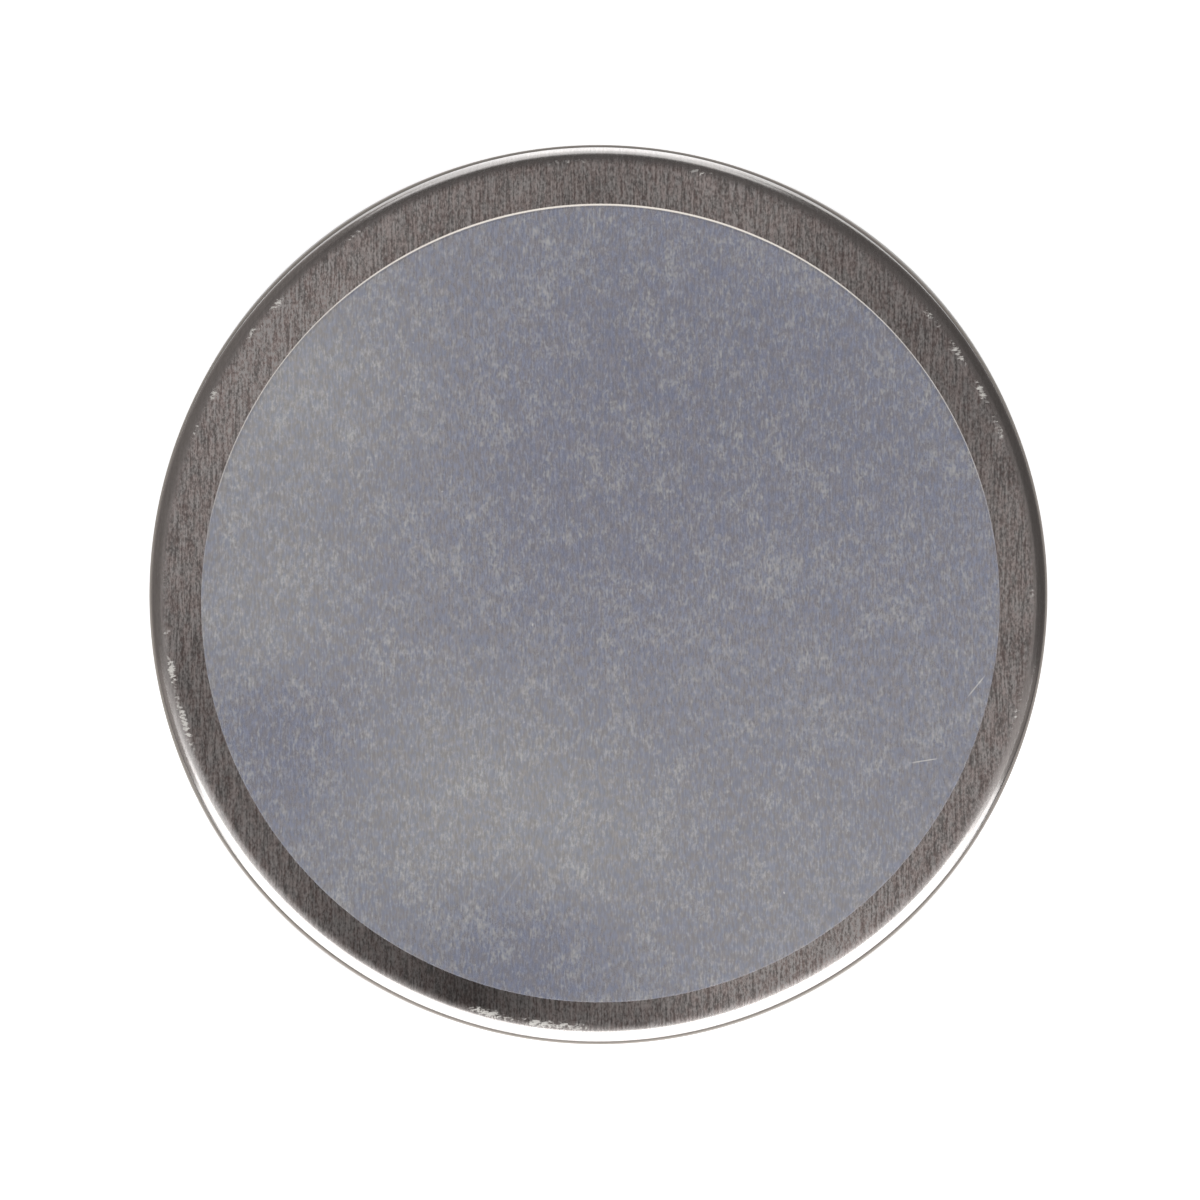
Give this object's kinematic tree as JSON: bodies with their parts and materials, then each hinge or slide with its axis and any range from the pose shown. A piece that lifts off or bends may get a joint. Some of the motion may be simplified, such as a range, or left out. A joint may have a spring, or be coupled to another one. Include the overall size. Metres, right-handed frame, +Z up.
{
  "type": "seed grow tin",
  "caption": "Shallow round tinplate tin with a slip lid and a blank clear round label, holding coir pellets, a folded leaflet and a packet of seeds for growing plants.",
  "frame": {"origin": "middle of the foot ring, on the surface that the tin stands on", "axes": "+Z up, along the axis of the tin and the way the lid lifts; +Y is the top of the picture"},
  "size_m": [0.068, 0.068, 0.0251],
  "materials": {
    "tinplate": "bare rolled tinplate, fine straight grain, satin",
    "label_film": "clear film, slightly hazy adhesive, satin",
    "coir": "pressed fibre, matt",
    "pellet_net": "thin nonwoven, matt",
    "leaflet_paper": "uncoated, matt",
    "packet_paper": "kraft, matt",
    "seed_husk": "striped husk, satin"
  },
  "bodies": {
    "tin": {"tin_base": "tinplate", "coir_pellet_1": "coir", "coir_pellet_2": "coir", "coir_pellet_3": "coir", "pellet_net_1": "pellet_net", "pellet_net_2": "pellet_net", "pellet_net_3": "pellet_net", "instruction_leaflet": "leaflet_paper", "seed_packet": "packet_paper", "seed_1": "seed_husk", "seed_2": "seed_husk", "seed_3": "seed_husk", "seed_4": "seed_husk", "seed_5": "seed_husk", "seed_6": "seed_husk", "seed_7": "seed_husk", "seed_8": "seed_husk", "seed_9": "seed_husk", "seed_10": "seed_husk"},
    "lid": {"lid": "tinplate", "lid_label": "label_film"}
  },
  "joints": [
    {"name": "lid_lift", "type": "slide", "parent": "tin", "child": "lid", "axis": [0, 0, 1], "range_m": [0, 0.04]}
  ]
}
